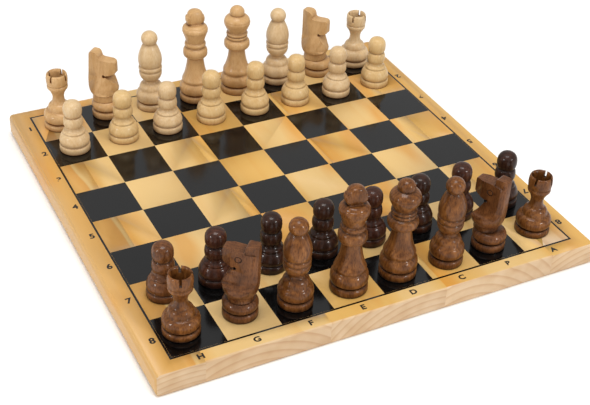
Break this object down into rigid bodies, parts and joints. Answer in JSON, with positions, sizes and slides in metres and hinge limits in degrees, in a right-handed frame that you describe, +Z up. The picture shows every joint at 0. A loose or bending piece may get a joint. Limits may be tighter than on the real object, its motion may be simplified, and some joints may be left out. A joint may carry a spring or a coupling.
{
  "type": "chess set on a flat board",
  "caption": "Flat wooden chess board with rounded sides, set out with turned wooden men, light against dark, each free to be lifted off its square.",
  "frame": {"origin": "middle of the board's underside, which is the bottom centre of the whole part", "axes": "+X to the right along the near edge, seen from the dark men's side; +Y from the dark men to the light men; +Z up from the board"},
  "size_m": [0.335, 0.328, 0.1009],
  "materials": {
    "board_pine": "satin",
    "black_lacquer": "gloss",
    "dark_wood": "satin",
    "light_wood": "satin"
  },
  "bodies": {
    "board": {"left_edge_stave": "board_pine", "left_stave": "board_pine", "middle_stave": "board_pine", "right_stave": "board_pine", "right_edge_stave": "board_pine", "black_squares": "black_lacquer", "frame_line": "black_lacquer"},
    "dark_rook_h8": {"dark_rook_h8": "dark_wood"},
    "dark_knight_g8": {"dark_knight_g8_foot": "dark_wood", "dark_knight_g8_head": "dark_wood"},
    "dark_bishop_f8": {"dark_bishop_f8": "dark_wood"},
    "dark_king_e8": {"dark_king_e8": "dark_wood"},
    "dark_queen_d8": {"dark_queen_d8": "dark_wood"},
    "dark_bishop_c8": {"dark_bishop_c8": "dark_wood"},
    "dark_knight_b8": {"dark_knight_b8_foot": "dark_wood", "dark_knight_b8_head": "dark_wood"},
    "dark_rook_a8": {"dark_rook_a8": "dark_wood"},
    "dark_pawn_h7": {"dark_pawn_h7": "dark_wood"},
    "dark_pawn_g7": {"dark_pawn_g7": "dark_wood"},
    "dark_pawn_f7": {"dark_pawn_f7": "dark_wood"},
    "dark_pawn_e7": {"dark_pawn_e7": "dark_wood"},
    "dark_pawn_d7": {"dark_pawn_d7": "dark_wood"},
    "dark_pawn_c7": {"dark_pawn_c7": "dark_wood"},
    "dark_pawn_b7": {"dark_pawn_b7": "dark_wood"},
    "dark_pawn_a7": {"dark_pawn_a7": "dark_wood"},
    "light_rook_h1": {"light_rook_h1": "light_wood"},
    "light_knight_g1": {"light_knight_g1_foot": "light_wood", "light_knight_g1_head": "light_wood"},
    "light_bishop_f1": {"light_bishop_f1": "light_wood"},
    "light_king_e1": {"light_king_e1": "light_wood"},
    "light_queen_d1": {"light_queen_d1": "light_wood"},
    "light_bishop_c1": {"light_bishop_c1": "light_wood"},
    "light_knight_b1": {"light_knight_b1_foot": "light_wood", "light_knight_b1_head": "light_wood"},
    "light_rook_a1": {"light_rook_a1": "light_wood"},
    "light_pawn_h2": {"light_pawn_h2": "light_wood"},
    "light_pawn_g2": {"light_pawn_g2": "light_wood"},
    "light_pawn_f2": {"light_pawn_f2": "light_wood"},
    "light_pawn_e2": {"light_pawn_e2": "light_wood"},
    "light_pawn_d2": {"light_pawn_d2": "light_wood"},
    "light_pawn_c2": {"light_pawn_c2": "light_wood"},
    "light_pawn_b2": {"light_pawn_b2": "light_wood"},
    "light_pawn_a2": {"light_pawn_a2": "light_wood"}
  },
  "joints": [
    {"name": "dark_rook_h8_lift", "type": "slide", "parent": "board", "child": "dark_rook_h8", "axis": [0, 0, 1], "range_m": [0, 0.1]},
    {"name": "dark_knight_g8_lift", "type": "slide", "parent": "board", "child": "dark_knight_g8", "axis": [0, 0, 1], "range_m": [0, 0.1]},
    {"name": "dark_bishop_f8_lift", "type": "slide", "parent": "board", "child": "dark_bishop_f8", "axis": [0, 0, 1], "range_m": [0, 0.1]},
    {"name": "dark_king_e8_lift", "type": "slide", "parent": "board", "child": "dark_king_e8", "axis": [0, 0, 1], "range_m": [0, 0.1]},
    {"name": "dark_queen_d8_lift", "type": "slide", "parent": "board", "child": "dark_queen_d8", "axis": [0, 0, 1], "range_m": [0, 0.1]},
    {"name": "dark_bishop_c8_lift", "type": "slide", "parent": "board", "child": "dark_bishop_c8", "axis": [0, 0, 1], "range_m": [0, 0.1]},
    {"name": "dark_knight_b8_lift", "type": "slide", "parent": "board", "child": "dark_knight_b8", "axis": [0, 0, 1], "range_m": [0, 0.1]},
    {"name": "dark_rook_a8_lift", "type": "slide", "parent": "board", "child": "dark_rook_a8", "axis": [0, 0, 1], "range_m": [0, 0.1]},
    {"name": "dark_pawn_h7_lift", "type": "slide", "parent": "board", "child": "dark_pawn_h7", "axis": [0, 0, 1], "range_m": [0, 0.1]},
    {"name": "dark_pawn_g7_lift", "type": "slide", "parent": "board", "child": "dark_pawn_g7", "axis": [0, 0, 1], "range_m": [0, 0.1]},
    {"name": "dark_pawn_f7_lift", "type": "slide", "parent": "board", "child": "dark_pawn_f7", "axis": [0, 0, 1], "range_m": [0, 0.1]},
    {"name": "dark_pawn_e7_lift", "type": "slide", "parent": "board", "child": "dark_pawn_e7", "axis": [0, 0, 1], "range_m": [0, 0.1]},
    {"name": "dark_pawn_d7_lift", "type": "slide", "parent": "board", "child": "dark_pawn_d7", "axis": [0, 0, 1], "range_m": [0, 0.1]},
    {"name": "dark_pawn_c7_lift", "type": "slide", "parent": "board", "child": "dark_pawn_c7", "axis": [0, 0, 1], "range_m": [0, 0.1]},
    {"name": "dark_pawn_b7_lift", "type": "slide", "parent": "board", "child": "dark_pawn_b7", "axis": [0, 0, 1], "range_m": [0, 0.1]},
    {"name": "dark_pawn_a7_lift", "type": "slide", "parent": "board", "child": "dark_pawn_a7", "axis": [0, 0, 1], "range_m": [0, 0.1]},
    {"name": "light_rook_h1_lift", "type": "slide", "parent": "board", "child": "light_rook_h1", "axis": [0, 0, 1], "range_m": [0, 0.1]},
    {"name": "light_knight_g1_lift", "type": "slide", "parent": "board", "child": "light_knight_g1", "axis": [0, 0, 1], "range_m": [0, 0.1]},
    {"name": "light_bishop_f1_lift", "type": "slide", "parent": "board", "child": "light_bishop_f1", "axis": [0, 0, 1], "range_m": [0, 0.1]},
    {"name": "light_king_e1_lift", "type": "slide", "parent": "board", "child": "light_king_e1", "axis": [0, 0, 1], "range_m": [0, 0.1]},
    {"name": "light_queen_d1_lift", "type": "slide", "parent": "board", "child": "light_queen_d1", "axis": [0, 0, 1], "range_m": [0, 0.1]},
    {"name": "light_bishop_c1_lift", "type": "slide", "parent": "board", "child": "light_bishop_c1", "axis": [0, 0, 1], "range_m": [0, 0.1]},
    {"name": "light_knight_b1_lift", "type": "slide", "parent": "board", "child": "light_knight_b1", "axis": [0, 0, 1], "range_m": [0, 0.1]},
    {"name": "light_rook_a1_lift", "type": "slide", "parent": "board", "child": "light_rook_a1", "axis": [0, 0, 1], "range_m": [0, 0.1]},
    {"name": "light_pawn_h2_lift", "type": "slide", "parent": "board", "child": "light_pawn_h2", "axis": [0, 0, 1], "range_m": [0, 0.1]},
    {"name": "light_pawn_g2_lift", "type": "slide", "parent": "board", "child": "light_pawn_g2", "axis": [0, 0, 1], "range_m": [0, 0.1]},
    {"name": "light_pawn_f2_lift", "type": "slide", "parent": "board", "child": "light_pawn_f2", "axis": [0, 0, 1], "range_m": [0, 0.1]},
    {"name": "light_pawn_e2_lift", "type": "slide", "parent": "board", "child": "light_pawn_e2", "axis": [0, 0, 1], "range_m": [0, 0.1]},
    {"name": "light_pawn_d2_lift", "type": "slide", "parent": "board", "child": "light_pawn_d2", "axis": [0, 0, 1], "range_m": [0, 0.1]},
    {"name": "light_pawn_c2_lift", "type": "slide", "parent": "board", "child": "light_pawn_c2", "axis": [0, 0, 1], "range_m": [0, 0.1]},
    {"name": "light_pawn_b2_lift", "type": "slide", "parent": "board", "child": "light_pawn_b2", "axis": [0, 0, 1], "range_m": [0, 0.1]},
    {"name": "light_pawn_a2_lift", "type": "slide", "parent": "board", "child": "light_pawn_a2", "axis": [0, 0, 1], "range_m": [0, 0.1]}
  ]
}
